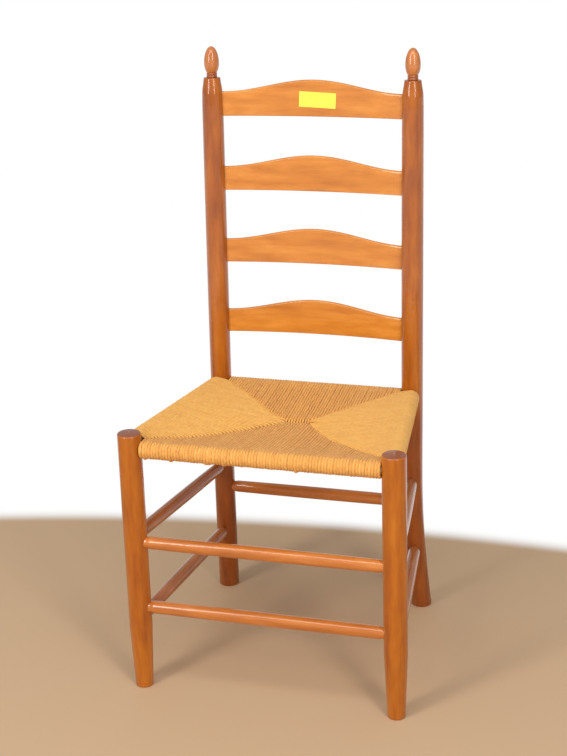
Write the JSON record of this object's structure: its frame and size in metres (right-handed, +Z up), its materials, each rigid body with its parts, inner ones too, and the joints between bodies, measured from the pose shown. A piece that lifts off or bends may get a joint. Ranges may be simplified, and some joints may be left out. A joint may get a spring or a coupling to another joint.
{
  "type": "ladderback side chair",
  "caption": "Ladderback side chair with turned posts and rungs, bowed crowned slats between tall back posts with egg finials, and a woven rush seat.",
  "frame": {"origin": "on the floor, at the middle of the chair's footprint", "axes": "+Z up, -Y the front that a sitter faces, +X the right hand of someone who faces the chair"},
  "size_m": [0.4726, 0.4179, 1.0178],
  "materials": {
    "post_wood": "lacquered reddish honey maple",
    "finial_wood": "lacquered turned maple",
    "slat_wood": "lacquered honey maple",
    "rung_wood": "lacquered reddish honey maple",
    "rail_wood": "bare hardwood",
    "rush": "twisted fibre rush cord",
    "card": "plain grey-brown card",
    "tack_steel": "blued steel",
    "label_paper": "blank yellow paper"
  },
  "bodies": {
    "root": {"back_post_left": "post_wood", "back_post_right": "post_wood", "back_rung": "rung_wood", "card_back": "card", "card_front": "card", "card_left": "card", "card_right": "card", "finial_left": "finial_wood", "finial_right": "finial_wood", "front_post_left": "post_wood", "front_post_right": "post_wood", "front_rung_lower": "rung_wood", "front_rung_upper": "rung_wood", "gusset_tacks": "tack_steel", "paper_label": "label_paper", "rush_back": "rush", "rush_front": "rush", "rush_left": "rush", "rush_right": "rush", "seat_rail_back": "rail_wood", "seat_rail_front": "rail_wood", "seat_rail_left": "rail_wood", "seat_rail_right": "rail_wood", "side_rung_left_lower": "rung_wood", "side_rung_left_upper": "rung_wood", "side_rung_right_lower": "rung_wood", "side_rung_right_upper": "rung_wood", "slat_1": "slat_wood", "slat_2": "slat_wood", "slat_3": "slat_wood", "slat_4": "slat_wood"}
  },
  "joints": []
}
